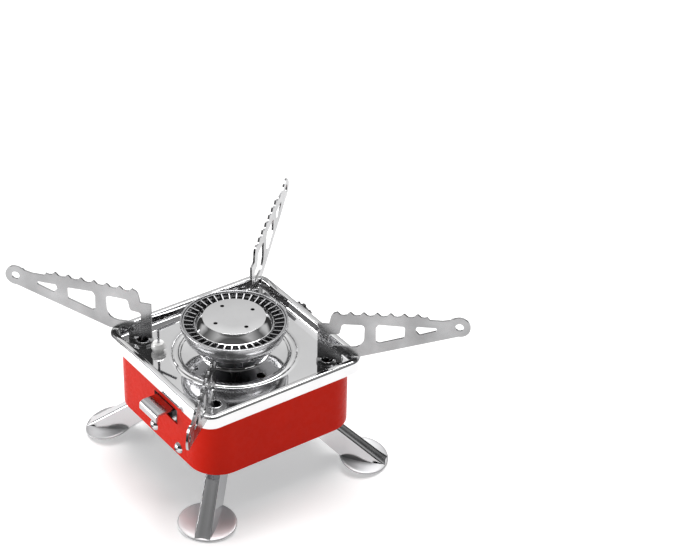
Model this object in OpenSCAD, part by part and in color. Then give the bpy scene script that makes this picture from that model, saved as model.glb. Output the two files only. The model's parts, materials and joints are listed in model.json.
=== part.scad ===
// Folding card-type camping stove for a screw-free butane cartridge.
// Millimetres, +Z up. The origin is on the ground, on the burner's axis.
// -Y is the face with the lock lever, -X has the cartridge port, +Y the knob and igniter.
// The four corners are named front (+X -Y), right (+X +Y), back (-X +Y) and left (-X -Y).

/* [Tray and shell] */
// Side of the square tray over its rim
tray_side = 90; // [88:0.5:92]
// Corner radius of the tray rim
tray_corner = 7.8; // [7:0.1:9]
// Height of the rim's skirt
rim_h = 6.6; // [6.2:0.1:7]
// Width of the rim's flat top
rim_w = 3.8; // [3.5:0.1:4]
// Depth of the tray's floor below the rim
tray_depth = 5; // [4.5:0.1:5.4]
// Side of the painted shell
shell_side = 85.7; // [85:0.1:86]
// Corner radius of the painted shell
shell_corner = 15; // [13:0.5:16]
// Height of the shell's bottom above the ground
shell_z = 23.5; // [22:0.5:25]
// Height of the painted shell below the rim
shell_h = 30.7; // [30:0.1:33]
// Thickness of the shell's sheet
shell_t = 0.7; // [0.6:0.05:0.8]
// Thickness of the tray's sheet
tray_t = 0.8; // [0.7:0.1:0.9]

/* [Tray pressings] */
// Middle radius of the raised ring bead
bead_r = 28.1; // [27:0.1:29]
// Width of the ring bead
bead_w = 3.4; // [2.5:0.1:3.6]
// Height of the ring bead
bead_h = 0.8; // [0.5:0.1:1]
// Depth of the well inside the bead
well_depth = 0.6; // [0.4:0.1:0.8]
// Inner radius of the collar round the burner opening
collar_r = 14.7; // [14:0.1:16]
// Radius at which the well's rivets and air holes sit
well_hole_r = 22.8; // [21:0.1:24]

/* [Burner] */
// Outer radius of the bowl's rim
bowl_r = 25.6; // [24:0.1:26.5]
// Height of the bowl's rim above the ground
bowl_top_z = 74; // [73:0.5:75]
// Radius of the cap's flat top
cap_r = 14.9; // [14:0.1:15.2]
// Height of the cap's flat top above the ground
cap_z = 75.9; // [75.5:0.1:77]
// Number of radial fins
fins = 40; // [24:4:48]
// Radius at which the cap's four small holes sit
cap_hole_r = 10.4; // [8:0.1:11]

/* [Pot support arms] */
// Thickness of the arm's sheet
arm_t = 1; // [0.8:0.1:1.2]
// Distance of the arm's pivot from the burner axis along the diagonal
arm_pivot_r = 44.6; // [44:0.1:45]
// Sideways offset of the arm's pivot from the diagonal
arm_pivot_y = 0.4; // [0.2:0.1:0.6]
// Distance of the tip hole from the burner axis
tip_r = 106.5; // [100:0.5:110]
// Radius of the round tip
tip_round = 5.1; // [4.5:0.1:5.5]
// Teeth on each arm
teeth = 7; // [5:1:7]
// Distance between teeth
tooth_pitch = 6.3; // [6:0.1:6.5]
// How far each arm stands off its diagonal: front, right, back, left (degrees)
arm_set = [2.7, -0.2, -3.7, -2.4];

/* [Legs] */
// Thickness of the leg's sheet
leg_t = 1.2; // [1:0.1:1.5]
// Distance of the leg's pivot from the burner axis
leg_pivot_r = 35; // [33:0.5:36]
// Distance of the foot's centre from the burner axis
foot_r = 63.3; // [60:0.1:65]
// Half the width of the oval foot, across the leg
foot_across = 14; // [12:0.1:14.5]
// Half the length of the oval foot, along the leg
foot_along = 12; // [11:0.1:13]
// Tilt of the foot, its outer edge lowest (degrees)
foot_tilt = 10; // [6:0.5:12]
// Width of the leg's ridge
ridge_w = 6.6; // [5:0.1:8]
// How far each leg stands off its diagonal: front, right, back, left (degrees)
leg_set = [0, 0, 0, -5];

/* [Gas side] */
// Height of the port, knob and igniter axes above the ground
axis_z = 39.2; // [39:0.1:40]
// Radius of the cartridge port's bore
port_r = 12.2; // [11.5:0.1:12.4]
// Place of the control spindle along X
knob_x = -22; // [-24:0.5:-20]
// Radius of the control knob
knob_r = 11; // [9:0.5:12]
// Place of the igniter along X
igniter_x = 18; // [17:0.5:20]

/* [Lock lever] */
// Middle of the lever's tab along X
lever_x = 7; // [6:0.5:8]
// Width of the tab
tab_w = 14.5; // [13:0.5:16]
// How far the tab stands out of the shell
tab_out = 10; // [8:0.5:12]
// How far the lever slides down to lock
lever_travel = 6; // [5:0.5:6]
// Distance between the two screws below the slot
screw_gap = 21.6; // [20:0.1:23]

/* [Hidden] */
$fn = 64;
eps = 0.02;
// Radial clearance of a turning or sliding fit
run = 0.05;

// Heights, from the ground up
skirt_z = shell_z + shell_h;
rim_z = skirt_z + rim_h;
floor_z = rim_z - tray_depth;
well_z = floor_z - well_depth;
base_z = shell_z + shell_t;
base_t = 1;
base_top = base_z + base_t;
half = shell_side / 2;
inside = half - shell_t;

// Arm: the blade's near face, its foot, and the rivet it turns on
blade_y = -0.7;
arm_foot_z = floor_z + 0.1;
arm_bend = 1.2;
arm_lobe = 5.2;
arm_rivet_r = 3.1;
arm_root = [40, 51.5];
// The blade bridges the eyelet up to here, at this height over the foot
arm_bridge = [48.7, 2.2];
tip_z = rim_z + 23.2;
tooth_start = 49;
tooth_z = rim_z + 24.2;
tooth_rise = 0.58;
tooth_depth = 1.6;

// Leg: top of its flange, ridge ends, and the rivet it turns on
leg_top = shell_z - 0.2;
ridge_top = 46.3;
ridge_end = 74.2;
leg_rivet_r = 1.9;
leg_lobe = 6;
foot_z = foot_along * sin(foot_tilt);

// Burner bracket, rivets and mixing tube
bracket_top = well_z - tray_t;
bracket_t = 1;
tube_r = 5.6;
tube_t = 0.7;
neck_r = tube_r + 0.1;
neck_out = neck_r + 1.2;
neck_end = 48;
jet_top = 32;
pipe_r = 2;
pipe_z = 28.5;

// Planes along X, from the port's mouth inwards: the fork drops in front of the cartridge's flange
port_mouth = -45.5;
port_back = -41;
lock_x = -40.6;
nose_x = -37.8;
body_x = -36.2;
nose_r = 6.3;
spindle_r = 2.55;
boss_end = 20;
slot_w = 20;
slot_z = [40.9, 49];
tab_z = slot_z[1] - 1.7;
lever_t = 1.2;
strip_y = [-34, -31];
fork_half = 15;
fork_z = [31.8, 54];
guide_rod_r = 1.5;
guide_rod_y = -38.4;
guide_rod_x = [lever_x - 4.8, lever_x + 4.8];
screw_z = 28;
// Radius and height of the screws' domes; length, width and depth of their cross recess
screw_dome = [2.9, 2];
screw_recess = [3.4, 0.8, 1.1];

// Igniter and electrode
electrode_at = [-20.6, -29.5];
electrode_tip = [-15.9, -22.8, 72.2];
// Radii of the insulator's neck and belly, and the heights of the belly's edges over the floor
insulator_r = [2.6, 3.6];
belly_h = [1.4, 2, 3];
insulator_top = floor_z + 4.8;
pin_bend_z = insulator_top + 7;
insulator_foot = floor_z - 6.8;
pin_foot = insulator_foot - 1.95;
button_r = 4.4;

// ---- helpers ----

function unit(v) = v / norm(v);

// Signed turn from angle a to angle b, between -180 and 180 degrees
function turn(a, b) = let (d = b - a) d > 180 ? d - 360 : d < -180 ? d + 360 : d;

// The arc of radius r that replaces corner b of the path a, b, c
function corner_arc(a, b, c, r, n) =
    let (u = unit(a - b), v = unit(c - b), open = acos(u * v))
    let (mid = b + unit(u + v) * r / sin(open / 2))
    let (p = b + u * r / tan(open / 2) - mid, q = b + v * r / tan(open / 2) - mid)
    let (start = atan2(p.y, p.x), sweep = turn(start, atan2(q.y, q.x)))
    [for (i = [0:n]) mid + r * [cos(start + sweep * i / n), sin(start + sweep * i / n)]];

// A closed outline with every corner rounded; r is one radius, or a list with one for each corner
function rounded(points, r, n = 4) =
    let (m = len(points))
    [for (i = [0:m - 1]) let (here = is_list(r) ? r[i] : r)
        each corner_arc(points[(i + m - 1) % m], points[i], points[(i + 1) % m], here, n)];

module rounded_square(side, r) {
    square([side, side - 2 * r], center = true);
    square([side - 2 * r, side], center = true);
    for (x = [-1, 1], y = [-1, 1])
        translate([x, y] * (side / 2 - r)) circle(r);
}

module slab(side, r, z0, z1) {
    translate([0, 0, z0]) linear_extrude(z1 - z0) rounded_square(side, r);
}

// A drawing in X and Z, given a thickness t from y0 along Y
module upright(y0, t) {
    translate([0, y0 + t, 0]) rotate([90, 0, 0]) linear_extrude(t) children();
}

// A drawing in Y and Z, given a length from x0 along X
module lengthwise(x0, length) {
    translate([x0, 0, 0]) rotate([90, 0, 90]) linear_extrude(length) children();
}

// A cylinder along X or along Y
module rod_x(r, x0, x1, y, z) {
    translate([x0, y, z]) rotate([0, 90, 0]) cylinder(r = r, h = x1 - x0);
}

module rod_y(r, y0, y1, x, z) {
    translate([x, y1, z]) rotate([90, 0, 0]) cylinder(r = r, h = y1 - y0);
}

module rod_z(r, z0, z1, x = 0, y = 0) {
    translate([x, y, z0]) cylinder(r = r, h = z1 - z0);
}

// The four corners, as turns of the +X direction
module at_corner(i, set) {
    rotate(-45 + 90 * i) translate([set[0], set[1], 0]) rotate(set[2]) translate([-set[0], -set[1], 0])
        children();
}

module dome(r, h) {
    ball = (r * r + h * h) / (2 * h);
    rotate_extrude() intersection() {
        translate([0, h - ball]) circle(ball);
        square([r + 1, h + 1]);
    }
}

// ---- shell and tray ----

module shell() {
    color([0.80, 0.12, 0.07]) difference() {
        slab(shell_side, shell_corner, shell_z, floor_z - tray_t);
        slab(shell_side - 2 * shell_t, shell_corner - shell_t, base_z, rim_z);
        slab(shell_side - 14, shell_corner - 7, shell_z - 1, base_z + 1);
        // slot for the lock lever, and its two screw holes
        translate([lever_x - slot_w / 2, -half - 1, slot_z[0]])
            cube([slot_w, shell_t + 2, slot_z[1] - slot_z[0]]);
        for (s = [-1, 1])
            rod_y(1.55, -half - 1, -inside + 1, lever_x + s * screw_gap / 2, screw_z);
        // cartridge port, control spindle and igniter
        rod_x(port_r + 1.6, -half - 1, -inside + 1, 0, axis_z);
        rod_y(3.2, inside - 1, half + 1, knob_x, axis_z);
        rod_y(5.6, inside - 1, half + 1, igniter_x, axis_z);
        // base plate screws
        for (a = [0:90:270]) rotate(a) rod_z(1.25, shell_z - 1, base_z + 1, 38.6);
    }
}

module base_plate() {
    color([0.72, 0.73, 0.75]) difference() {
        slab(shell_side - 2 * shell_t - 0.4, shell_corner - shell_t, base_z, base_top);
        for (i = [0:3]) rotate(-45 + 90 * i) rod_z(leg_rivet_r, base_z - 1, base_top + 1, leg_pivot_r);
        for (a = [0:90:270]) rotate(a) rod_z(1.25, base_z - 1, base_top + 1, 38.6);
        // breathing slots between the legs
        for (a = [45:90:315], k = [-1:1])
            rotate(a + 45) translate([27, k * 6 - 1.5, base_z - 1]) cube([7, 3, base_t + 2]);
    }
}

module base_screws() {
    color([0.65, 0.66, 0.68]) for (a = [0:90:270]) rotate(a) translate([38.6, 0, 0]) difference() {
        union() {
            rod_z(1.2, shell_z - 0.1, base_top + 0.05);
            translate([0, 0, shell_z]) mirror([0, 0, 1]) dome(2.6, 1.4);
        }
        for (r = [0, 90])
            rotate(r) translate([-1.5, -0.25, shell_z - 1.6]) cube([3, 0.5, 0.9]);
    }
}

module top_tray() {
    inner_side = tray_side - 2 * rim_w;
    inner_corner = tray_corner - rim_w;
    color([0.86, 0.87, 0.88]) difference() {
        union() {
            // rim: outer skirt, flat top and inner wall, as one turned-over channel
            difference() {
                slab(tray_side, tray_corner, skirt_z, rim_z);
                slab(tray_side - 2 * tray_t, tray_corner - tray_t, skirt_z - 1, rim_z - tray_t);
            }
            difference() {
                slab(inner_side + 2 * tray_t, inner_corner + tray_t, floor_z - tray_t, rim_z - tray_t + eps);
                slab(inner_side, inner_corner, floor_z - 2 * tray_t, rim_z);
            }
            // floor, with its ring bead, sunken well and collar
            difference() {
                slab(inner_side + eps, inner_corner, floor_z - tray_t, floor_z);
                rod_z(bead_r - bead_w / 2, floor_z - tray_t - 1, floor_z + 1);
            }
            tray_bead();
            difference() {
                rod_z(bead_r - bead_w / 2 + tray_t, well_z - tray_t, well_z);
                rod_z(collar_r, well_z - tray_t - 1, well_z + 1);
            }
            difference() {
                rod_z(collar_r + tray_t + 0.3, well_z - tray_t, well_z + 1.6);
                rod_z(collar_r, well_z - tray_t - 1, well_z + 3);
            }
        }
        // the tray's floor opens only inside the rim
        slab(inner_side, inner_corner, floor_z + bead_h + 1.2, rim_z + 1);
        for (i = [0:3]) rotate(-45 + 90 * i)
            rod_z(arm_rivet_r, floor_z - 2, floor_z + 2, arm_pivot_r, arm_pivot_y);
        for (x = [-1, 1]) rod_z(2.2, well_z - 2, well_z + 2, x * well_hole_r);
        for (y = [-1, 1]) rod_z(1.5, well_z - 2, well_z + 2, 0, y * well_hole_r);
        rod_z(insulator_r[0], floor_z - 2, floor_z + 2, electrode_at.x, electrode_at.y);
    }
}

// The bead is the top of a circle standing bead_h proud, hollow below
module tray_bead() {
    bead_ball = (bead_w * bead_w / 4 + bead_h * bead_h) / (2 * bead_h);
    rotate_extrude() difference() {
        intersection() {
            translate([bead_r, floor_z + bead_h - bead_ball]) circle(bead_ball);
            translate([bead_r - bead_w / 2, well_z - tray_t]) square([bead_w, 3]);
        }
        translate([bead_r - bead_w / 2 + tray_t, well_z - 2]) square([bead_w - 2 * tray_t, 2]);
    }
}

module tray_rivets() {
    color([0.88, 0.88, 0.89]) for (y = [-1, 1]) translate([0, y * well_hole_r, 0]) {
        rod_z(1.45, bracket_top - bracket_t - eps, well_z + eps);
        translate([0, 0, well_z]) dome(2.3, 0.9);
        rod_z(2.2, bracket_top - bracket_t - 0.7, bracket_top - bracket_t);
    }
}

// ---- pot support arms ----

// Hollow eyelets, open right through, with a thin lip over the arm's foot
module arm_rivets() {
    lip_z = arm_foot_z + arm_t + 0.1;
    color([0.75, 0.75, 0.77]) for (i = [0:3]) rotate(-45 + 90 * i)
        translate([arm_pivot_r, arm_pivot_y, 0]) difference() {
            union() {
                rod_z(arm_rivet_r - eps, floor_z - tray_t - 0.7, lip_z + 0.3);
                translate([0, 0, lip_z]) cylinder(r1 = arm_rivet_r + 0.5, r2 = arm_rivet_r + 0.2, h = 0.3);
                rod_z(arm_rivet_r + 0.9, floor_z - tray_t - 0.7, floor_z - tray_t);
            }
            rod_z(arm_rivet_r - 0.35, floor_z - tray_t - 1, lip_z + 1);
        }
}

// The saw teeth along the arm's top edge: a sharp peak, then a scallop
function tooth(k) =
    let (x = tooth_start + k * tooth_pitch, z = tooth_z + k * tooth_rise)
    [[x - 0.6, z - 0.5], [x, z], [x + 0.6, z - 0.4], [x + 1.7, z - tooth_depth + 0.2],
     [x + 3, z - tooth_depth], [x + tooth_pitch - 1.7, z - tooth_depth + 0.5]];

// The arm's outline in distance from the axis and height, anticlockwise from its inner foot
arm_outline = concat(
    [[arm_root[0], arm_foot_z + arm_bridge[1]], [arm_bridge[0], arm_foot_z + arm_bridge[1]],
     [arm_bridge[0] + 0.4, arm_foot_z + arm_bend], [arm_root[1], arm_foot_z + arm_bend],
     [arm_root[1], rim_z + 0.6], [60.5, rim_z + 0.6], [tip_r + 0.8, tip_z - tip_round + 0.4]],
    [[tip_r, tip_z], [tip_r - 3, tip_z + 4.1], [tip_r - 3.6, tip_z + 4.2], [tip_r - 4.6, tip_z + 3.2],
     [tip_r - 8, tip_z + 2.3], [tip_r - 14, tip_z + 2]],
    [for (k = [teeth - 1:-1:0], j = [5:-1:0]) tooth(k)[j]],
    [[47.2, rim_z + 23.2], [46.2, rim_z + 21.6], [45.6, rim_z + 18.4], [45.3, rim_z + 16.9],
     [arm_root[0], rim_z + 16.7]]);

// The three windows: tapered slot, middle window and large inner window
arm_slot = [[96.8, rim_z + 21.5], [86.6, rim_z + 21], [86, rim_z + 18.6], [88, rim_z + 16.4],
    [95.6, rim_z + 19.6]];
arm_mid_window = [[81.2, rim_z + 20.2], [68.6, rim_z + 19.8], [67.4, rim_z + 17.6],
    [67.6, rim_z + 9.8], [69.4, rim_z + 9.4], [81, rim_z + 14]];
arm_inner_window = [[62.2, rim_z + 18.6], [51.5, rim_z + 17.8], [50.4, rim_z + 12],
    [45, rim_z + 11.2], [45.4, rim_z + 5.4], [62.1, rim_z + 5.2]];
arm_inner_corners = [1.6, 1.6, 1.6, 1.6, 1.6, 6];

module arm() {
    foot_y = blade_y + arm_bend;
    color([0.66, 0.67, 0.68]) difference() {
        union() {
            upright(blade_y, arm_t) difference() {
                union() {
                    polygon(arm_outline);
                    translate([tip_r, tip_z]) circle(tip_round);
                }
                translate([tip_r, tip_z]) circle(2);
                polygon(rounded(arm_slot, 0.8));
                polygon(rounded(arm_mid_window, 1));
                polygon(rounded(arm_inner_window, arm_inner_corners));
            }
            // the bend and the flat foot below the blade
            lengthwise(arm_bridge[0] + 0.4, arm_root[1] - arm_bridge[0] - 0.4) {
                intersection() {
                    difference() {
                        translate([foot_y, arm_foot_z + arm_bend]) circle(arm_bend);
                        translate([foot_y, arm_foot_z + arm_bend]) circle(arm_bend - arm_t);
                    }
                    translate([blade_y, arm_foot_z]) square([arm_bend + eps, arm_bend + eps]);
                }
                translate([foot_y, arm_foot_z]) square([4, arm_t]);
            }
            translate([arm_pivot_r, foot_y, arm_foot_z]) cube([arm_root[1] - arm_pivot_r, 4, arm_t]);
            rod_z(arm_lobe, arm_foot_z, arm_foot_z + arm_t, arm_pivot_r, arm_pivot_y);
        }
        rod_z(arm_rivet_r - eps + run, arm_foot_z - 1, arm_foot_z + 2, arm_pivot_r, arm_pivot_y);
    }
}

module arm_at(i) {
    at_corner(i, [arm_pivot_r, arm_pivot_y, arm_set[i]]) arm();
}

module arm_front() { arm_at(0); }
module arm_right() { arm_at(1); }
module arm_back() { arm_at(2); }
module arm_left() { arm_at(3); }

// ---- legs ----

module leg_rivets() {
    color([0.70, 0.71, 0.73]) for (i = [0:3]) rotate(-45 + 90 * i) translate([leg_pivot_r, 0, 0]) {
        rod_z(leg_rivet_r - eps, leg_top - leg_t - 0.3, base_top + eps);
        translate([0, 0, leg_top - leg_t - 0.1]) mirror([0, 0, 1]) dome(3.4, 1.3);
        rod_z(3, base_top, base_top + 0.8);
        rod_z(3, leg_top + 0.1, base_z);
    }
}

module leg() {
    ridge_foot = 1.4;
    side = [[ridge_top - 7, leg_top], [ridge_top, leg_top], [ridge_end, ridge_foot],
        [ridge_end - 4, ridge_foot - 0.4], [foot_r - 10.8, 4.6], [ridge_top - 1.3, 11.6],
        [ridge_top - 7, 16]];
    slant = 1.7;
    color([0.74, 0.75, 0.76]) difference() {
        union() {
            translate([foot_r, 0, foot_z]) rotate([0, foot_tilt, 0]) linear_extrude(leg_t)
                polygon([for (a = [0:10:350]) [foot_along * cos(a), foot_across * sin(a)]]);
            for (y = [-ridge_w / 2, ridge_w / 2 - leg_t]) upright(y, leg_t) polygon(side);
            upright(-ridge_w / 2, ridge_w) polygon([[ridge_top, leg_top], [ridge_end, ridge_foot],
                [ridge_end - slant, ridge_foot - 0.2], [ridge_top - slant, leg_top]]);
            translate([leg_pivot_r, -5, leg_top - leg_t]) cube([ridge_top - leg_pivot_r - 0.5, 10, leg_t]);
            rod_z(leg_lobe, leg_top - leg_t, leg_top, leg_pivot_r);
        }
        rod_z(leg_rivet_r - eps + run, leg_top - leg_t - 1, leg_top + 1, leg_pivot_r);
    }
}

module leg_at(i) {
    at_corner(i, [leg_pivot_r, 0, leg_set[i]]) leg();
}

module leg_front() { leg_at(0); }
module leg_right() { leg_at(1); }
module leg_back() { leg_at(2); }
module leg_left() { leg_at(3); }

// ---- burner ----

// Heights of the bowl, fins and cap are measured from the bowl's rim

module burner_bowl() {
    wall = 1;
    flange = [neck_out + 1.7, well_z + 1 - bowl_top_z];
    seat = bracket_top - bowl_top_z;
    middle = -2.8;
    belly = 10.6;
    color([0.80, 0.81, 0.82]) translate([0, 0, bowl_top_z]) rotate_extrude() polygon(concat(
        [[bowl_r, 0], [bowl_r, -2.1]],
        [for (a = [0:15:75]) [13 + (bowl_r - 14) * cos(a), middle - belly * sin(a)]],
        [[9.8, -13.6], [9.8, -14.6], [neck_out, -14.6], [neck_out, flange[1]], flange,
         [flange[0], seat], [neck_out, seat], [neck_out, neck_end - bowl_top_z],
         [neck_r, neck_end - bowl_top_z], [neck_r, -12.7]],
        [for (a = [75:-15:0]) [13 + (bowl_r - 15) * cos(a), middle - (belly - wall) * sin(a)]],
        [[bowl_r - wall, -1.9], [bowl_r - wall, 0]]));
}

module fin_ring() {
    sleeve = 17;
    outer = bowl_r - 1.2;
    color([0.82, 0.83, 0.84]) translate([0, 0, bowl_top_z]) {
        difference() {
            rotate_extrude() polygon([[sleeve, -11.6], [sleeve + 0.8, -11.2], [sleeve + 0.8, -3.2],
                [sleeve + 1.9, -3.2], [sleeve + 1.9, -2.4], [sleeve, -2.4]]);
            // gas ports through the sleeve
            for (a = [0:18:162]) rotate(a) translate([-outer, -0.6, -7]) cube([2 * outer, 1.2, 2.6]);
        }
        difference() {
            rod_z(outer, -1.6, -0.6);
            rod_z(outer - 0.6, -2, 0);
        }
        for (k = [0:fins - 1]) rotate(k * 360 / fins) upright(-0.3, 0.6)
            polygon([[sleeve + 0.4, -5.4], [outer - 1.4, -2.2], [outer - 0.3, -1.5],
                [outer - 0.3, -0.7], [sleeve + 2.2, -1.4], [sleeve + 2.2, -2.45], [sleeve + 0.4, -2.45]]);
    }
}

module burner_cap() {
    rim = 18.8;
    top = cap_z - bowl_top_z;
    color([0.90, 0.91, 0.92]) translate([0, 0, bowl_top_z]) difference() {
        rotate_extrude() polygon([[0, top], [cap_r, top], [cap_r + 0.4, top - 0.4],
            [rim, -1.7], [rim, -2.35], [rim - 0.9, -2.35], [cap_r - 0.2, top - 1], [0, top - 1]]);
        for (a = [0:90:270]) rotate(a) rod_z(1, top - 2, top + 1, cap_hole_r);
    }
}

module mixing_tube() {
    color([0.72, 0.73, 0.74]) difference() {
        union() {
            rod_z(tube_r, jet_top + 0.05, neck_end + 10.5);
            rod_z(tube_r + 1.6, jet_top + 0.05, jet_top + 1.2);
        }
        rod_z(tube_r - tube_t, jet_top - 1, neck_end + 12);
        rod_x(2.4, -8, 8, 0, jet_top + 6);
        rod_y(2.4, -8, 8, 0, jet_top + 6);
    }
}

module burner_bracket() {
    color([0.70, 0.71, 0.72]) translate([0, 0, bracket_top - bracket_t]) difference() {
        union() {
            translate([-7, -28, 0]) cube([14, 56, bracket_t]);
            cylinder(r = 13.5, h = bracket_t);
        }
        translate([0, 0, -1]) cylinder(r = neck_r + 1.5, h = 3);
        for (y = [-1, 1]) translate([0, y * well_hole_r, -1]) cylinder(r = 1.5, h = 3);
    }
}

// ---- gas side ----

module jet_block() {
    color([0.70, 0.71, 0.73]) difference() {
        translate([-7.5, -7.5, base_top]) cube([15, 15, jet_top - base_top]);
        rod_z(1.85, pipe_z, jet_top + 1);
        rod_x(pipe_r + run, -8, -3.5, 0, pipe_z);
        rod_x(1.2, -4, 0, 0, pipe_z);
    }
}

module gas_jet() {
    color([0.80, 0.62, 0.25]) difference() {
        union() {
            rod_z(1.8, pipe_z + 1, jet_top + 4);
            translate([0, 0, jet_top + 0.05]) cylinder(r = 2.8, h = 2, $fn = 6);
            translate([0, 0, jet_top + 4]) cylinder(r1 = 1.8, r2 = 0.9, h = 1);
        }
        rod_z(1, pipe_z, jet_top + 4);
        rod_z(0.3, jet_top + 3, jet_top + 6);
    }
}

module gas_pipe() {
    color([0.78, 0.47, 0.30]) difference() {
        rod_x(pipe_r, -20.5, -4, 0, pipe_z);
        rod_x(1.2, -21, -3, 0, pipe_z);
    }
}

module valve_body() {
    color([0.66, 0.66, 0.67]) difference() {
        union() {
            rod_x(11, body_x, -30, 0, axis_z);
            rod_x(nose_r, nose_x, body_x + eps, 0, axis_z);
            translate([-30.5, -8.5, base_top]) cube([15, 17, axis_z + 8.8 - base_top]);
            rod_y(6.5, 8, boss_end, knob_x, axis_z);
        }
        // inlet through the nose, with a seat for its seal
        rod_x(2.2, nose_x - 1, knob_x, 0, axis_z);
        rod_x(4.1, nose_x - 1, nose_x + 1.8, 0, axis_z);
        // spindle bore with a seat for its seal, then down to the pipe
        rod_y(spindle_r + run, -3, boss_end + 1, knob_x, axis_z);
        rod_y(4.2, boss_end - 2, boss_end + 1, knob_x, axis_z);
        rod_z(1.2, pipe_z, axis_z, knob_x);
        rod_x(pipe_r + run, -20.6, -15, 0, pipe_z);
        rod_x(1.2, knob_x, -20, 0, pipe_z);
    }
}

module port_collar() {
    color([0.68, 0.69, 0.70]) difference() {
        union() {
            rod_x(port_r + 1.5, port_mouth, port_back, 0, axis_z);
            rod_x(port_r + 2.4, -half - 1.3, -half - 0.05, 0, axis_z);
        }
        rod_x(port_r, port_mouth - 1, port_back + 1, 0, axis_z);
        // notch that lines up the cartridge
        translate([port_mouth - 1, -2, axis_z + port_r - 1]) cube([2.4, 4, 5]);
    }
}

module port_seal() {
    color([0.10, 0.10, 0.10]) translate([nose_x + 0.9, 0, axis_z]) rotate([0, 90, 0])
        rotate_extrude() translate([3.15, 0]) circle(0.85, $fn = 24);
}

module control_spindle() {
    color([0.78, 0.70, 0.45]) difference() {
        rod_y(spindle_r, -2.5, 53, knob_x, axis_z);
        translate([knob_x + 1.5, 45, axis_z - 3]) cube([3, 9, 6]);
    }
}

module spindle_seal() {
    color([0.10, 0.10, 0.10]) translate([knob_x, boss_end - 1, axis_z]) rotate([90, 0, 0])
        rotate_extrude() translate([spindle_r + 0.78, 0]) circle(0.7, $fn = 24);
}

module control_knob() {
    color([0.08, 0.08, 0.09]) difference() {
        union() {
            rod_y(knob_r, 43.8, 47, knob_x, axis_z);
            rod_y(knob_r - 1.6, 46, 56, knob_x, axis_z);
            // grip ribs round the barrel
            for (k = [0:11]) translate([knob_x, 56, axis_z]) rotate([90, k * 30, 0])
                translate([knob_r - 2, -1, 0]) cube([1.4, 2, 9.5]);
        }
        rod_y(spindle_r + eps, 43, 53.2, knob_x, axis_z);
        // pointer groove on the face
        translate([knob_x - 0.5, 55.3, axis_z + 2]) cube([1, 1.5, knob_r - 4]);
    }
    color([0.08, 0.08, 0.09]) translate([knob_x + 1.6, 45.2, axis_z - 1.6]) cube([1.2, 7.8, 3.2]);
}

// ---- lock lever ----

module lock_lever() {
    tab_x = lever_x - tab_w / 2;
    tab_y = -half - tab_out;
    lip_r = 2.6;
    lip_drop = 1.8;
    lip_mid = [tab_y + lip_r, tab_z + lever_t - lip_r];
    color([0.80, 0.81, 0.82]) difference() {
        union() {
            // tab outside the shell, its rolled-down lip, and the strip along the wall
            translate([tab_x, lip_mid.x - eps, tab_z])
                cube([tab_w, strip_y[1] - lip_mid.x + eps, lever_t]);
            translate([tab_x, tab_y, lip_mid.y - lip_drop]) cube([tab_w, lever_t, lip_drop + eps]);
            lengthwise(tab_x, tab_w) intersection() {
                difference() {
                    translate(lip_mid) circle(lip_r);
                    translate(lip_mid) circle(lip_r - lever_t);
                }
                translate([tab_y, lip_mid.y]) square([lip_r, lip_r]);
            }
            translate([lock_x, strip_y[0], tab_z])
                cube([tab_x + 1 - lock_x, strip_y[1] - strip_y[0], lever_t]);
            // fork that drops in front of the cartridge's flange, and its link to the strip
            translate([lock_x, -fork_half, fork_z[0]]) cube([1, 2 * fork_half, fork_z[1] - fork_z[0]]);
            translate([lock_x, strip_y[0], tab_z - 2.6])
                cube([1, -fork_half - strip_y[0] + eps, lever_t + 2.6]);
        }
        rod_x(port_r + 0.2, lock_x - 1, lock_x + 2, 0, axis_z);
        lengthwise(lock_x - 1, 3) translate([-port_r - 0.2, fork_z[0] - 1])
            square([2 * port_r + 0.4, axis_z - fork_z[0] + 1]);
        rod_x(nose_r + 0.9, lock_x - 1, lock_x + 2, 0, axis_z + lever_travel);
        for (x = guide_rod_x) rod_z(guide_rod_r + run + 0.04, tab_z - 1, tab_z + 3, x, guide_rod_y);
    }
}

module lever_guide() {
    color([0.70, 0.71, 0.72]) {
        difference() {
            translate([lever_x - 14.5, -inside + 0.05, base_top + 0.1]) cube([29, 1, 10]);
            for (s = [-1, 1])
                rod_y(1.5, -inside - 1, -inside + 3, lever_x + s * screw_gap / 2, screw_z);
        }
        translate([lever_x - 14.5, -inside + 0.5, base_top + 0.1]) cube([29, 9, 1]);
        for (x = guide_rod_x) rod_z(guide_rod_r, base_top + 0.5, slot_z[1] + 3, x, guide_rod_y);
    }
}

module face_screws() {
    color([0.80, 0.80, 0.82]) for (s = [-1, 1]) translate([lever_x + s * screw_gap / 2, -half, screw_z])
        rotate([90, 0, 0]) difference() {
            union() {
                rod_z(1.45, -4, eps);
                dome(screw_dome[0], screw_dome[1]);
            }
            for (r = [25, 115]) rotate(r)
                translate([-screw_recess.x / 2, -screw_recess.y / 2, screw_dome[1] - screw_recess.z])
                    cube(screw_recess);
        }
}

// ---- igniter ----

module igniter_body() {
    color([0.12, 0.12, 0.13]) difference() {
        union() {
            rod_y(6.6, 20, inside - 0.1, igniter_x, axis_z);
            rod_y(5.5, inside - 1, half + 1.4, igniter_x, axis_z);
            rod_y(7.2, half + 0.05, half + 1.4, igniter_x, axis_z);
        }
        rod_y(button_r + 0.08, 29.5, half + 3, igniter_x, axis_z);
        rod_y(1, 19, 24, igniter_x, axis_z);
    }
}

module igniter_button() {
    color([0.75, 0.10, 0.07]) union() {
        rod_y(button_r, 40, half + 5.6, igniter_x, axis_z);
        translate([igniter_x, half + 5.6, axis_z]) rotate([-90, 0, 0]) dome(button_r, 0.8);
    }
}

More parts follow.
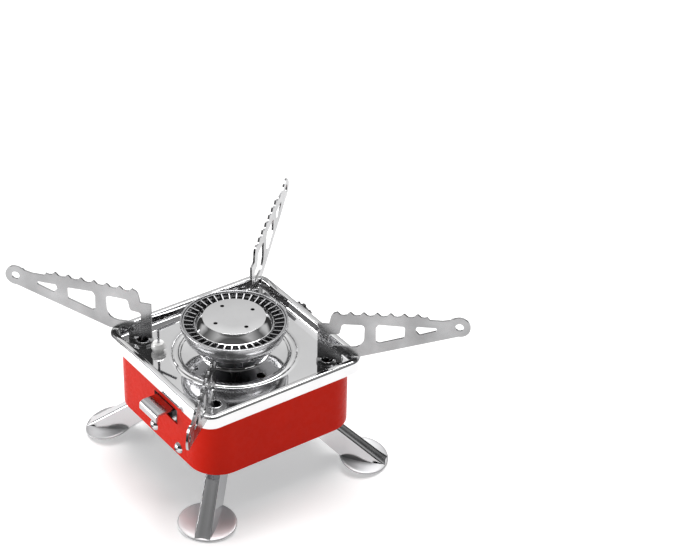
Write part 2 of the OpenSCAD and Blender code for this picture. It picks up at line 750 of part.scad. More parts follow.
// A round tube of radius r swept along a path; ref is a direction the path never follows
module swept_tube(path, r, ref, sides) {
    last = len(path) - 1;
    function along(i) = unit(path[min(i + 1, last)] - path[max(i - 1, 0)]);
    points = [for (i = [0:last]) let (out = unit(cross(along(i), ref)), up = cross(out, along(i)))
        for (j = [0:sides - 1]) path[i] + r * (cos(360 * j / sides) * out + sin(360 * j / sides) * up)];
    walls = [for (i = [0:last - 1], j = [0:sides - 1])
        [i * sides + j, i * sides + (j + 1) % sides, (i + 1) * sides + (j + 1) % sides, (i + 1) * sides + j]];
    start_cap = [[for (j = [sides - 1:-1:0]) j]];
    end_cap = [[for (j = [0:sides - 1]) last * sides + j]];
    polyhedron(points, concat(walls, start_cap, end_cap));
}

// A smooth curve through the points of a route, with n steps between two of them
function smooth(route, n) =
    let (last = len(route) - 1)
    [for (i = [0:last - 1], k = [0:(i == last - 1 ? n : n - 1)])
        let (t = k / n, a = route[max(i - 1, 0)], b = route[i], c = route[i + 1], d = route[min(i + 2, last)])
        0.5 * (2 * b + (c - a) * t + (2 * a - 5 * b + 4 * c - d) * t * t
            + (3 * b - a - 3 * c + d) * t * t * t)];

module button_spring() {
    coil_r = 3.2;
    turns = 4;
    steps = turns * 16;
    ends = [30, 39.5];
    color([0.75, 0.75, 0.77]) swept_tube(
        [for (i = [0:steps]) let (a = 360 * turns * i / steps)
            [igniter_x + coil_r * cos(a), ends[0] + (ends[1] - ends[0]) * i / steps,
                axis_z + coil_r * sin(a)]],
        0.35, [0, 1, 0], 6);
}

// Lead from the igniter's tail to the electrode, round the mixing tube
module igniter_lead() {
    color([0.15, 0.15, 0.16]) swept_tube(
        smooth([[igniter_x, 20.6, axis_z], [igniter_x, 15, axis_z + 1], [15, 4, axis_z + 3.8],
            [11, -10, axis_z + 6.8], [2, -21, axis_z + 7.8], [-10, -28, axis_z + 5.8],
            [electrode_at.x + 2, electrode_at.y, axis_z + 3.3],
            [electrode_at.x, electrode_at.y, axis_z + 5.3],
            [electrode_at.x, electrode_at.y, pin_foot - 0.05]], 5),
        0.8, [1, -1, 0], 10);
}

module electrode_pin() {
    top = [electrode_at.x, electrode_at.y, pin_bend_z];
    lean = electrode_tip - top;
    color([0.60, 0.60, 0.61]) {
        rod_z(0.6, pin_foot, top.z, electrode_at.x, electrode_at.y);
        translate(top) sphere(0.6, $fn = 24);
        translate(top) rotate([0, acos(lean.z / norm(lean)), atan2(lean.y, lean.x)])
            cylinder(r = 0.6, h = norm(lean));
    }
}

module electrode_insulator() {
    color([0.95, 0.94, 0.91]) translate([electrode_at.x, electrode_at.y, 0]) difference() {
        rotate_extrude() polygon([[0, insulator_foot], [insulator_r[0], insulator_foot],
            [insulator_r[0], floor_z + belly_h[0]], [insulator_r[1], floor_z + belly_h[1]],
            [insulator_r[1], floor_z + belly_h[2]], [insulator_r[0], insulator_top], [0, insulator_top]]);
        rod_z(0.62, insulator_foot - 1, insulator_top + 1);
    }
}

shell();
base_plate();
base_screws();
top_tray();
tray_rivets();
arm_rivets();
arm_front();
arm_right();
arm_back();
arm_left();
leg_rivets();
leg_front();
leg_right();
leg_back();
leg_left();
burner_bowl();
fin_ring();
burner_cap();
mixing_tube();
burner_bracket();
jet_block();
gas_jet();
gas_pipe();
valve_body();
port_collar();
port_seal();
control_spindle();
spindle_seal();
control_knob();
lock_lever();
lever_guide();
face_screws();
igniter_body();
igniter_button();
button_spring();
igniter_lead();
electrode_pin();
electrode_insulator();
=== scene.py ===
import json
from math import cos, radians, sin

import bpy
from mathutils import Matrix, Vector


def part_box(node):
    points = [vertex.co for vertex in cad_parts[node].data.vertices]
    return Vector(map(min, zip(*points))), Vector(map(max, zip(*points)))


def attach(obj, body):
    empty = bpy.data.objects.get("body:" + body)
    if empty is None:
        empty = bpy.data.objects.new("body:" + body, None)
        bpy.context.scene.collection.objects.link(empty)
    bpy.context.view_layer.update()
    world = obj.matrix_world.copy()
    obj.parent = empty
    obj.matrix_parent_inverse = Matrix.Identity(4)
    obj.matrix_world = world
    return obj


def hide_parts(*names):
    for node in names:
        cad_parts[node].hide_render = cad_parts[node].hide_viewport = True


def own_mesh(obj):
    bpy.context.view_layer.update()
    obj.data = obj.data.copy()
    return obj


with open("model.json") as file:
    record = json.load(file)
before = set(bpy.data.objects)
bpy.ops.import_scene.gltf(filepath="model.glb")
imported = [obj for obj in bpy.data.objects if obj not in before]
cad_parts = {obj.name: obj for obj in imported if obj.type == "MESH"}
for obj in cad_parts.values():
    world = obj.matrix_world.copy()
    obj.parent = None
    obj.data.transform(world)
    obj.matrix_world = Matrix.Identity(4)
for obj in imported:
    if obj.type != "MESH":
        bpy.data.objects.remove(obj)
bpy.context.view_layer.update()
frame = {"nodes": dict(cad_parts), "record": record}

nodes = frame["nodes"]
scene = bpy.context.scene
MM = 0.001
CORNERS = ("front", "right", "back", "left")
LEG_TURNS = (0, 0, 0, -5)
ARM_PIVOT = (44.6, 0.4)
LEG_PIVOT = 35
TRAY_CORNER = 7.8
CAP_R = 14.9
SLOTS = {part["node"]: part["material_slot"] for part in frame["record"]["subparts"]}


# ---- camera ----

def make_camera():
    """The photograph's view: from the front right, a third of a right angle up, with a long lens."""
    azimuth, elevation, roll = radians(53.98), radians(33.25), radians(1.19)
    distance, right_shift, up_shift = 1.06406, 0.04991, 0.03625
    aim = Vector((0, 0, 0.0535))
    back = Vector((sin(azimuth) * cos(elevation), -cos(azimuth) * cos(elevation), sin(elevation)))
    level = Vector((cos(azimuth), sin(azimuth), 0))
    upright = back.cross(level)
    right = cos(roll) * level + sin(roll) * upright
    up = cos(roll) * upright - sin(roll) * level
    data = bpy.data.cameras.new("camera")
    data.sensor_width = 36
    data.lens = 118.63
    data.clip_start = 0.01
    camera = bpy.data.objects.new("camera", data)
    place = aim + back * distance + right * right_shift + up * up_shift
    turn = Matrix((right, up, back)).transposed().to_4x4()
    camera.matrix_world = Matrix.Translation(place) @ turn
    scene.collection.objects.link(camera)
    scene.camera = camera


# ---- materials ----

class Surface:
    """A procedural material, made node by node in the object's own metres."""

    def __init__(self, name):
        self.material = bpy.data.materials.new(name)
        self.material.use_nodes = True
        self.tree = self.material.node_tree
        self.shader = self.tree.nodes["Principled BSDF"]
        self.place = self.tree.nodes.new("ShaderNodeTexCoord").outputs["Object"]
        self.normal = None

    def set(self, **values):
        """Uniform values, straight on the shader's sockets: coat_weight is Coat Weight."""
        for name, value in values.items():
            socket = name.replace("_", " ").title().replace("Ior", "IOR")
            self.shader.inputs[socket].default_value = value

    def noise(self, scale, stretch=(1, 1, 1), detail=3, turn=0):
        mapping = self.tree.nodes.new("ShaderNodeMapping")
        mapping.inputs["Scale"].default_value = stretch
        mapping.inputs["Rotation"].default_value = (0, 0, turn)
        self.tree.links.new(self.place, mapping.inputs["Vector"])
        texture = self.tree.nodes.new("ShaderNodeTexNoise")
        texture.inputs["Scale"].default_value = scale
        texture.inputs["Detail"].default_value = detail
        self.tree.links.new(mapping.outputs["Vector"], texture.inputs["Vector"])
        return texture.outputs["Fac"]

    def spread(self, value, low, high, start=0.3, end=0.7):
        """value, a texture from start to end, stretched to run from low to high."""
        node = self.tree.nodes.new("ShaderNodeMapRange")
        for name, number in (("From Min", start), ("From Max", end), ("To Min", low), ("To Max", high)):
            node.inputs[name].default_value = number
        self.tree.links.new(value, node.inputs["Value"])
        return node.outputs["Result"]

    def colour(self, value, stops):
        """Base colour from a texture, through (position, colour) stops."""
        ramp = self.tree.nodes.new("ShaderNodeValToRGB")
        while len(ramp.color_ramp.elements) < len(stops):
            ramp.color_ramp.elements.new(0.5)
        for element, (position, shade) in zip(ramp.color_ramp.elements, stops):
            element.position = position
            element.color = (*shade, 1)
        self.tree.links.new(value, ramp.inputs["Fac"])
        self.tree.links.new(ramp.outputs["Color"], self.shader.inputs["Base Color"])

    def roughness(self, value, low, high):
        self.tree.links.new(self.spread(value, low, high), self.shader.inputs["Roughness"])

    def bump(self, value, height, coat=False):
        """Adds relief of that height, in metres, to what is there already."""
        node = self.tree.nodes.new("ShaderNodeBump")
        node.inputs["Distance"].default_value = height
        self.tree.links.new(value, node.inputs["Height"])
        if self.normal:
            self.tree.links.new(self.normal, node.inputs["Normal"])
        self.normal = node.outputs["Normal"]
        self.tree.links.new(self.normal, self.shader.inputs["Normal"])
        if coat:
            self.tree.links.new(self.normal, self.shader.inputs["Coat Normal"])


def shades(colour, change):
    """A colour, darker and lighter by a share."""
    return [tuple(min(1, c * (1 + step)) for c in colour) for step in (-change, 0, change)]


def metal(name, colour, rough, wave=4e-6, grain=2e-7, grain_scale=3000, stretch=(1, 1, 1), turn=0,
          change=0.04):
    """Bare metal: rough is its (smoothest, dullest) roughness, wave its hollows, grain its fine texture."""
    surface = Surface(name)
    surface.set(metallic=1.0)
    dark, plain, light = shades(colour, change)
    surface.colour(surface.noise(45, detail=4), ((0.3, dark), (0.5, plain), (0.7, light)))
    surface.roughness(surface.noise(160, stretch, 5, turn), *rough)
    surface.bump(surface.noise(55, detail=2), wave)
    surface.bump(surface.noise(grain_scale, stretch, 2, turn), grain)
    return surface.material


def red_enamel():
    surface = Surface("red_enamel")
    surface.set(coat_weight=0.07, coat_roughness=0.12, specular_ior_level=0.02)
    dark, plain, light = shades((0.66, 0.016, 0.005), 0.04)
    surface.colour(surface.noise(60, detail=5), ((0.3, dark), (0.5, plain), (0.7, light)))
    surface.roughness(surface.noise(300), 0.22, 0.34)
    surface.bump(surface.noise(420, detail=2), 6e-7, coat=True)
    surface.bump(surface.noise(48, detail=1), 2.5e-6, coat=True)
    return surface.material


def plastic(name, colour, rough, texture):
    """Moulded plastic or rubber with a fine texture."""
    surface = Surface(name)
    dark, plain, light = shades(colour, 0.12)
    surface.colour(surface.noise(150, detail=4), ((0.3, dark), (0.5, plain), (0.7, light)))
    surface.roughness(surface.noise(600, detail=4), *rough)
    surface.bump(surface.noise(2600, detail=3), texture)
    return surface.material


def ceramic():
    surface = Surface("glazed_ceramic")
    surface.set(coat_weight=0.6, coat_roughness=0.08)
    cream, white = (0.95, 0.945, 0.93), (0.98, 0.98, 0.97)
    surface.colour(surface.noise(220, detail=4), ((0.35, cream), (0.6, white)))
    surface.roughness(surface.noise(500), 0.18, 0.3)
    surface.bump(surface.noise(900), 3e-6, coat=True)
    return surface.material


def make_materials():
    """The record's material slots by name, the finishes of the bowl, lever and feet, and a near-black
    painted shade for the shell's inside.
    """
    return {
        "red_paint": red_enamel(),
        "mirror_steel": metal("mirror_steel", (0.78, 0.78, 0.785), (0.03, 0.07), 1.2e-6, 4e-8),
        "arm_steel": metal("arm_steel", (0.37, 0.37, 0.375), (0.16, 0.28), 4.5e-5, 1e-6, 900,
                           change=0.28),
        "leg_steel": metal("leg_steel", (0.58, 0.58, 0.59), (0.09, 0.17), 5e-6, 1.5e-7),
        "drawn_steel": metal("drawn_steel", (0.46, 0.46, 0.47), (0.2, 0.28), 2e-6, 2e-7),
        "lever_steel": metal("lever_steel", (0.52, 0.52, 0.53), (0.14, 0.22), 3e-6, 1.5e-7),
        # near-black painted shade for the shell's inside, so holes and slots into the body look dark
        "painted_shade_black": plastic("painted_shade_black", (0.05, 0.05, 0.052), (0.5, 0.65), 4e-6),
        "foot_steel": metal("foot_steel", (0.62, 0.62, 0.63), (0.4, 0.5), 6e-6, 3e-7),
        "rivet_steel": metal("rivet_steel", (0.70, 0.70, 0.71), (0.12, 0.22), 8e-6, 4e-7),
        "plated_steel": metal("plated_steel", (0.42, 0.425, 0.44), (0.24, 0.36), 8e-6, 4e-7),
        "zinc_casting": metal("zinc_casting", (0.50, 0.50, 0.51), (0.38, 0.55), 2e-5, 6e-6, 1200),
        "brass": metal("turned_brass", (0.78, 0.58, 0.24), (0.14, 0.26), 6e-6, 6e-7, 2600, (1, 6, 1)),
        "copper_pipe": metal("drawn_copper", (0.72, 0.38, 0.24), (0.2, 0.34), 8e-6, 5e-7, 1800,
                             (0.1, 1, 1)),
        "spring_steel": metal("drawn_wire", (0.50, 0.50, 0.52), (0.2, 0.3), 6e-6, 4e-7),
        "black_plastic": plastic("black_plastic", (0.022, 0.022, 0.024), (0.38, 0.52), 8e-6),
        "red_plastic": plastic("red_plastic", (0.52, 0.025, 0.012), (0.22, 0.32), 3e-6),
        "seal_rubber": plastic("seal_rubber", (0.015, 0.015, 0.015), (0.5, 0.7), 6e-6),
        "lead_sleeve": plastic("lead_sleeve", (0.03, 0.03, 0.032), (0.4, 0.55), 3e-6),
        "ceramic": ceramic(),
    }


# ---- finish of the CAD nodes ----

def soften(name, edge, steps=2, sharp=28):
    """Rounds a CAD node's edges by that width and shades its curved faces smoothly."""
    node = nodes[name]
    mesh = node.data
    if "custom_normal" in mesh.attributes:
        mesh.attributes.remove(mesh.attributes["custom_normal"])
    mesh.polygons.foreach_set("use_smooth", [True] * len(mesh.polygons))
    weld = node.modifiers.new("weld", "WELD")
    weld.merge_threshold = 2e-6
    flat = node.modifiers.new("flat_faces", "DECIMATE")
    flat.decimate_type = "DISSOLVE"
    flat.angle_limit = radians(0.4)
    bevel = node.modifiers.new("soft_edges", "BEVEL")
    bevel.width = edge
    bevel.segments = steps
    bevel.limit_method = "ANGLE"
    bevel.angle_limit = radians(sharp)
    bevel.harden_normals = True
    bevel.miter_outer = "MITER_ARC"
    whole = node.modifiers.new("triangles", "TRIANGULATE")
    whole.keep_custom_normals = True


def dress_cad_nodes(materials):
    own = {"fin_ring": "drawn_steel", "lock_lever": "lever_steel"}
    arm_edge, other_edge = 0.22 * MM, 0.12 * MM
    for name, node in nodes.items():
        node.data.materials.clear()
        node.data.materials.append(materials[own.get(name, SLOTS[name])])
        soften(name, arm_edge if name.startswith("arm_") else other_edge)
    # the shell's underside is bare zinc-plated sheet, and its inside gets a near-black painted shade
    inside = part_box("shell")[1][0] - 0.4 * MM
    mesh = nodes["shell"].data
    mesh.materials.append(materials["plated_steel"])
    mesh.materials.append(materials["painted_shade_black"])
    for face in mesh.polygons:
        inward = face.normal.to_2d().dot(face.center.to_2d()) < -1e-4
        if face.normal.z < -0.9:
            face.material_index = 1
        # inward faces inside the shell take the near-black painted shade
        elif inward and max(abs(face.center.x), abs(face.center.y)) < inside:
            face.material_index = 2


def shorten_spring():
    """Gives the button's spring a mesh of its own."""
    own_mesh(nodes["button_spring"])


# ---- new meshes ----

def piece(name, points, faces, body, replaced, materials, sharp=30):
    """A mesh in millimetres that takes the place of a CAD node and rides on its body."""
    mesh = bpy.data.meshes.new(name)
    mesh.from_pydata([tuple(c * MM for c in point) for point in points], [], faces)
    mesh.polygons.foreach_set("use_smooth", [True] * len(mesh.polygons))
    mesh.set_sharp_from_angle(angle=radians(sharp))
    mesh.materials.append(materials[SLOTS[replaced]])
    made = bpy.data.objects.new(name, mesh)
    scene.collection.objects.link(made)
    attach(made, body)
    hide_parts(replaced)
    return made


def skin(rings, closed=True, start=0):
    """Faces between rings of equal count."""
    count = len(rings[0])
    faces = []
    for k in range(len(rings) - 1):
        low, high = start + k * count, start + (k + 1) * count
        for i in range(count if closed else count - 1):
            j = (i + 1) % count
            faces.append((low + i, low + j, high + j, high + i))
    return faces


def arc(x, z, radius, first, last, steps=6):
    return [(x + radius * cos(radians(first + (last - first) * k / steps)),
             z + radius * sin(radians(first + (last - first) * k / steps))) for k in range(steps + 1)]


QUARTER = 30


def square_ring(side, corner, z):
    """A rounded square, corner by corner, anticlockwise from -X -Y."""
    reach = side / 2 - corner
    ring = []
    for k, (x, y) in enumerate(((-1, -1), (1, -1), (1, 1), (-1, 1))):
        for i in range(QUARTER):
            turn = radians(180 + 90 * k + 90 * i / (QUARTER - 1))
            ring.append((x * reach + corner * cos(turn), y * reach + corner * sin(turn), z))
    return ring


def round_ring(radius, z):
    """A circle with the same count, each quarter centred on the same corner."""
    ring = []
    for k in range(4):
        for i in range(QUARTER):
            turn = radians(180 + 90 * k + 90 * (i + 0.5) / QUARTER)
            ring.append((radius * cos(turn), radius * sin(turn), z))
    return ring


def cut(made, holes, low, high):
    """Cuts round holes, given as (x, y, radius), through a piece."""
    points, faces = [], []
    for x, y, radius in holes:
        start = len(points)
        around = [radians(360 * i / 40) for i in range(40)]
        rings = [[(x + radius * cos(a), y + radius * sin(a), z) for a in around] for z in (low, high)]
        points += [point for ring in rings for point in ring]
        faces += skin(rings, start=start)
        faces += [tuple(range(start + 39, start - 1, -1)), tuple(range(start + 40, start + 80))]
    mesh = bpy.data.meshes.new("cutter")
    mesh.from_pydata([tuple(c * MM for c in point) for point in points], [], faces)
    cutter = bpy.data.objects.new("cutter", mesh)
    scene.collection.objects.link(cutter)
    holed = made.modifiers.new("holes", "BOOLEAN")
    holed.operation = "DIFFERENCE"
    holed.solver = "EXACT"
    holed.object = cutter
    bake(made)
    bpy.data.objects.remove(cutter)


def bake(made, sharp=30):
    """Turns a piece's modifiers into its mesh."""
    shape = made.evaluated_get(bpy.context.evaluated_depsgraph_get())
    mesh = bpy.data.meshes.new_from_object(shape)
    made.modifiers.clear()
    made.data = mesh
    mesh.polygons.foreach_set("use_smooth", [True] * len(mesh.polygons))
    mesh.set_sharp_from_angle(angle=radians(sharp))


def make_tray(materials):
    """The pressed tray: rolled rim, sloping inner wall, floor, ring bead, well and collar."""
    low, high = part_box("top_tray")
    side, skirt, rim = (high[0] - low[0]) / MM, low[2] / MM, high[2] / MM
    floor, well = rim - 5, rim - 5.6
    outer = [(0.75, skirt + 0.1), (0.2, skirt), (0, skirt + 0.2)]
    outer += arc(1.5, rim - 1.5, 1.5, 180, 90) + arc(2.75, rim - 0.9, 0.9, 90, 12)
    outer += arc(5.0, floor + 1.1, 1.1, 188, 270) + [(7.4, floor), (9, floor)]
    rings = [square_ring(side - 2 * inset, max(TRAY_CORNER - inset, 1.4), z) for inset, z in outer]
    inner = [(31.5, floor), (30.1, floor)]
    inner += [(28.1 + 1.75 * cos(radians(a)), floor + 0.85 * sin(radians(a)))
              for a in range(10, 180, 16)]
    inner += [(26, floor), (25.7, floor - 0.1), (25.3, well + 0.1), (24.9, well), (20, well)]
    inner += [(16.6, well), (16.1, well + 0.12), (15.75, well + 0.5), (15.6, well + 1.1)]
    inner += [(15.35, well + 1.5), (15, well + 1.6), (14.8, well + 1.4), (14.7, well + 1)]
    rings += [round_ring(radius, z) for radius, z in inner]
    points = [point for ring in rings for point in ring]
    made = piece("tray", points, skin(rings), "stove_body", "top_tray", materials)
    sheet = made.modifiers.new("sheet", "SOLIDIFY")
    sheet.thickness = 0.55 * MM
    sheet.offset = -1
    bake(made)
    in_well, vent, rivet, neck, eyelet = 22.8, 2.2, 1.5, 2.6, 3.1
    holes = [(side * in_well, 0, vent) for side in (-1, 1)]
    holes += [(0, side * in_well, rivet) for side in (-1, 1)]
    start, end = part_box("electrode_insulator")
    holes.append(((start[0] + end[0]) / 2 / MM, (start[1] + end[1]) / 2 / MM, neck))
    for k in range(4):
        along, across = radians(90 * k - 45), radians(90 * k + 45)
        holes.append((ARM_PIVOT[0] * cos(along) + ARM_PIVOT[1] * cos(across),
                      ARM_PIVOT[0] * sin(along) + ARM_PIVOT[1] * sin(across), eyelet))
    cut(made, holes, floor - 3, floor + 0.7)


def make_cap(materials):
    """The burner cap: flat polished top with a crisp edge, conical skirt turned down at its rim."""
    low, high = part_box("burner_cap")
    top, foot, rim = high[2] / MM, low[2] / MM, high[0] / MM
    profile = [(0.3, top - 0.02), (8, top - 0.01), (CAP_R, top)]
    profile += arc(CAP_R, top - 0.14, 0.14, 90, 45, 3)
    profile += [(15.3, top - 0.4), (16, top - 1.03), (17.2, top - 2.1), (rim - 0.35, foot + 0.75)]
    profile += arc(rim - 0.3, foot + 0.45, 0.3, 50, 0, 4)
    profile += [(rim, foot), (rim - 0.8, foot), (15.4, top - 1.3)]
    profile += [(14.7, top - 0.9), (8, top - 0.9), (0.3, top - 0.9)]
    rings = [round_ring(radius, z) for radius, z in profile]
    points = [point for ring in rings for point in ring]
    count = len(rings[0])
    last = len(points) - count
    faces = skin(rings) + [tuple(range(count - 1, -1, -1)), tuple(range(last, last + count))]
    faces = [tuple(reversed(face)) for face in faces]
    made = piece("cap", points, faces, "stove_body", "burner_cap", materials)
    hole_at, hole_r = 10.4, 1
    holes = [(hole_at * x, hole_at * y, hole_r) for x, y in ((1, 0), (0, 1), (-1, 0), (0, -1))]
    cut(made, holes, top - 3, top + 1)


def make_bowl(materials):
    """The burner's drawn bowl with its rolled rim, and the neck that goes down through the tray."""
    low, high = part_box("burner_bowl")
    top, end, rim = high[2] / MM, low[2] / MM, high[0] / MM
    neck, bore = 6.9, 5.7

    def belly(wide, deep, angles):
        return [(13 + wide * cos(radians(a)), top - 2.8 - deep * sin(radians(a))) for a in angles]

    profile = [(neck, end), (neck, top - 19.6), (8.6, top - 19.6), (8.6, top - 17.8), (neck, top - 17.8)]
    profile += [(neck, top - 14.6), (9.6, top - 14.6), (9.8, top - 14.4), (9.8, top - 13.8)]
    profile += [(10.1, top - 13.6)] + belly(11.6, 10.6, range(75, -1, -5))
    profile += [(rim - 0.15, top - 2.3), (rim, top - 2.05)] + arc(rim - 0.3, top - 0.3, 0.3, 0, 90, 4)
    profile += arc(rim - 0.7, top - 0.3, 0.3, 90, 180, 4) + [(rim - 1, top - 1.9)]
    profile += belly(10.6, 9.6, range(0, 76, 5)) + [(bore, top - 12.7), (bore, end), (neck, end)]
    rings = [round_ring(radius, z) for radius, z in profile]
    points = [point for ring in rings for point in ring]
    made = piece("bowl", points, skin(rings), "stove_body", "burner_bowl", materials)
    made.data.materials[0] = materials["drawn_steel"]


# a leg lies along X here, with its rivet at LEG_PIVOT; distances are in mm from the stove's middle
RIDGE_TOP = 46.3
RIDGE_END = 74.4
FOOT = 63.3
FOOT_Z = 2.08
FOOT_HALF = (12, 14)
TILT = radians(10)
AROUND = 72


def foot_top(reach):
    """Height of the foot's upper face at that distance along the leg."""
    return FOOT_Z + 1.22 - (reach - FOOT) * sin(TILT) / cos(TILT)


def leg_section(reach, top):
    """Across the pressed channel: half of its outline, from the free edge to the middle of the ridge."""
    slope = min(1, max(0, (reach - RIDGE_TOP) / (RIDGE_END - RIDGE_TOP)))
    edge = 3.15 + 0.5 * slope
    if reach < 52.6:
        foot, spread = foot_top(52.6) + (52.6 - reach) * 0.86, 5.3
    else:
        foot, spread = foot_top(reach) - 0.5, 5.3 - 1.1 * max(0, slope - 0.6) / 0.4
    depth = top - foot
    bend = min(1.2, depth * 0.45)
    half = [(-spread, foot)]
    half += [(-spread + (spread - edge - 0.25) * k / 4, foot + (depth - bend) * k / 4)
             for k in range(1, 4)]
    half += [(-edge - bend * 0.25 + bend * (1 - cos(radians(a))), top - bend + bend * sin(radians(a)))
             for a in range(0, 91, 18)]
    return half + [(-edge * 0.35, top - 0.06), (0, top - 0.08)]


def make_leg(corner, index, turned, materials):
    """A leg: pressed ridge channel with a flange under the body and an oval tilted foot."""
    points, faces = [], []
    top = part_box("leg_" + corner)[1][2] / MM
    fall = (top - foot_top(RIDGE_END)) / (RIDGE_END - RIDGE_TOP)
    stations = [38.5, 41, 43.5, 45.4, 46.3, 47.2] + [47.2 + 26.6 * k / 22 for k in range(1, 23)] + [74.4]
    rings = []
    for reach in stations:
        height = top - 0.05 if reach < 46 else top - max(0.1, fall * (reach - RIDGE_TOP))
        half = leg_section(reach, max(height, foot_top(reach) + 0.02))
        rings.append([(reach, y, z) for y, z in half] + [(reach, -y, z) for y, z in reversed(half[:-1])])
    sheet = [[(x, y * 0.8, max(z - 1, 0.1)) for x, y, z in ring] for ring in rings]
    count = len(rings[0])
    points += [point for ring in rings for point in ring] + [point for ring in sheet for point in ring]
    under = len(rings) * count
    faces += skin(rings, closed=False)
    faces += [tuple(reversed(face)) for face in skin(sheet, closed=False, start=under)]
    for row in (0, (len(rings) - 1) * count):
        faces += [(row + i, row + i + 1, under + row + i + 1, under + row + i) for i in range(count - 1)]
    for k in range(len(rings) - 1):
        for i in (0, count - 1):
            a, b = k * count + i, (k + 1) * count + i
            faces.append((a, b, under + b, under + a))
    # flange with its round end on the rivet
    rim = [(LEG_PIVOT + 6 * cos(radians(a)), 6 * sin(radians(a))) for a in range(40, 321, 14)]
    outline = [(46.2, -4.4)] + [(46.2, 4.4)] + rim
    points, faces = slab(points, faces, [(x, y, top - 0.1) for x, y in outline], 1)
    # foot, slightly dished, with a rounded edge: (share of its radius, height) from the middle and back
    around = [radians(360 * i / AROUND) for i in range(AROUND)]
    dish = [(0.02, 0.85), (0.5, 0.9), (0.86, 1.08), (0.95, 1.15), (0.98, 1.1), (1, 0.85), (1, 0.35),
            (0.985, 0.08), (0.95, 0), (0.5, 0), (0.02, 0)]
    start, foot_faces = len(points), len(faces)
    ovals = []
    for step, (share, lift) in enumerate(dish):
        lean = TILT * (0.8 if step < 3 else 1)
        long, wide = (share * half for half in FOOT_HALF)
        ovals.append([(FOOT + long * cos(a) * cos(lean) + lift * sin(TILT), wide * sin(a),
                       FOOT_Z - long * cos(a) * sin(lean) + lift * cos(TILT)) for a in around])
    points += [point for ring in ovals for point in ring]
    faces += [tuple(reversed(face)) for face in skin(ovals, start=start)]
    last = start + (len(dish) - 1) * AROUND
    faces += [tuple(range(start, start + AROUND)), tuple(range(last + AROUND - 1, last - 1, -1))]
    turn = Matrix.Rotation(radians(turned), 4, "Z")
    pivot = Matrix.Translation((LEG_PIVOT, 0, 0))
    spin = Matrix.Rotation(radians(90 * index - 45), 4, "Z") @ pivot @ turn @ pivot.inverted()
    placed = [tuple(spin @ Vector(point)) for point in points]
    made = piece(corner + "_leg_sheet", placed, faces, corner + "_leg", "leg_" + corner, materials, 40)
    made.data.materials.append(materials["foot_steel"])
    for face in made.data.polygons[foot_faces:]:
        face.material_index = 1


def slab(points, faces, outline, thick):
    """Adds a flat plate below an outline to a mesh's points and faces."""
    start, count = len(points), len(outline)
    points = points + outline + [(x, y, z - thick) for x, y, z in outline]
    faces = faces + skin([outline, outline], start=start)
    faces += [tuple(range(start, start + count)), tuple(range(start + 2 * count - 1, start + count - 1, -1))]
    return points, faces


# ---- studio ----

def make_floor():
    """A plain pale floor, large enough that no view from above shows its end."""
    size = 8.0
    mesh = bpy.data.meshes.new("floor")
    corners = [(-size, -size, 0), (size, -size, 0), (size, size, 0), (-size, size, 0)]
    mesh.from_pydata(corners, [], [(0, 1, 2, 3)])
    floor = bpy.data.objects.new("floor", mesh)
    surface = Surface("studio_floor")
    surface.colour(surface.noise(3, detail=2), ((0.3, (0.9, 0.9, 0.9)), (0.7, (0.92, 0.92, 0.92))))
    surface.set(emission_color=(1, 1, 1, 1), emission_strength=0.28, specular_ior_level=0.1)
    surface.roughness(surface.noise(20), 0.5, 0.6)
    mesh.materials.append(surface.material)
    scene.collection.objects.link(floor)


def softbox(name, place, aim, width, height, power):
    """A soft rectangular lamp; sizes in metres, power in watts."""
    data = bpy.data.lights.new(name, "AREA")
    data.shape = "RECTANGLE"
    data.size = width
    data.size_y = height
    data.energy = power
    light = bpy.data.objects.new(name, data)
    place = Vector(place)
    facing = (Vector(aim) - place).to_track_quat("-Z", "Y")
    light.matrix_world = Matrix.Translation(place) @ facing.to_matrix().to_4x4()
    scene.collection.objects.link(light)


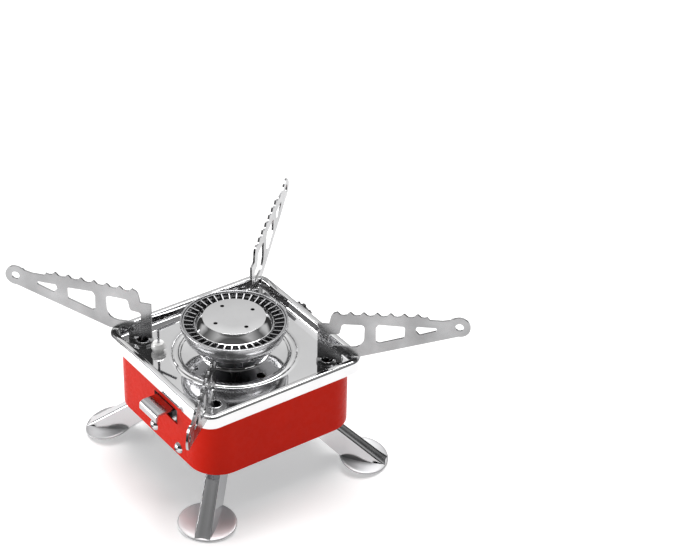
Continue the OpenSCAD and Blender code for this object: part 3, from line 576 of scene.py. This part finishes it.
def make_studio():
    """A pale floor, a key light on the lever side and one above, in a room that is white behind the stove,
    dark in front and below, and half bright over the camera."""
    make_floor()
    scene.view_settings.view_transform = "Standard"
    softbox("key", (-0.7, -1.15, 0.27), (0, 0, 0.04), 0.7, 0.36, 9)
    softbox("top", (-0.3, 0.4, 1.7), (0, 0.05, 0.05), 1.1, 1.1, 24)
    world = bpy.data.worlds.new("room")
    scene.world = world
    world.use_nodes = True
    tree = world.node_tree
    way = tree.nodes.new("ShaderNodeTexCoord").outputs["Generated"]

    def shade(towards, stops):
        """Brightness by how far a direction leans towards another, from -1 to 1."""
        lean = tree.nodes.new("ShaderNodeVectorMath")
        lean.operation = "DOT_PRODUCT"
        lean.inputs[1].default_value = Vector(towards).normalized()
        tree.links.new(way, lean.inputs[0])
        half = tree.nodes.new("ShaderNodeMapRange")
        half.inputs["From Min"].default_value = -1
        tree.links.new(lean.outputs["Value"], half.inputs["Value"])
        ramp = tree.nodes.new("ShaderNodeValToRGB")
        while len(ramp.color_ramp.elements) < len(stops):
            ramp.color_ramp.elements.new(0.5)
        for element, (position, grey) in zip(ramp.color_ramp.elements, stops):
            element.position = position / 2 + 0.5
            element.color = (grey, grey, grey, 1)
        tree.links.new(half.outputs["Result"], ramp.inputs["Fac"])
        return ramp.outputs["Color"]

    behind = shade((-0.81, 0.59, 0), ((-0.5, 0.1), (-0.33, 0.45), (-0.2, 0.38), (0.1, 0.16), (0.34, 0.9),
                                      (0.5, 1.0)))
    height = shade((0, 0, 1), ((0.0, 0.03), (0.24, 0.04), (0.36, 0.55), (0.56, 0.62), (0.75, 1.0),
                               (0.95, 0.8)))
    both = tree.nodes.new("ShaderNodeMix")
    both.data_type = "RGBA"
    both.blend_type = "MULTIPLY"
    both.inputs["Factor"].default_value = 1
    tree.links.new(behind, both.inputs["A"])
    tree.links.new(height, both.inputs["B"])
    tree.links.new(both.outputs["Result"], tree.nodes["Background"].inputs["Color"])
    tree.nodes["Background"].inputs["Strength"].default_value = 1.15


make_camera()
materials = make_materials()
dress_cad_nodes(materials)
shorten_spring()
make_tray(materials)
make_cap(materials)
make_bowl(materials)
for index, (corner, turned) in enumerate(zip(CORNERS, LEG_TURNS)):
    make_leg(corner, index, turned, materials)
make_studio()
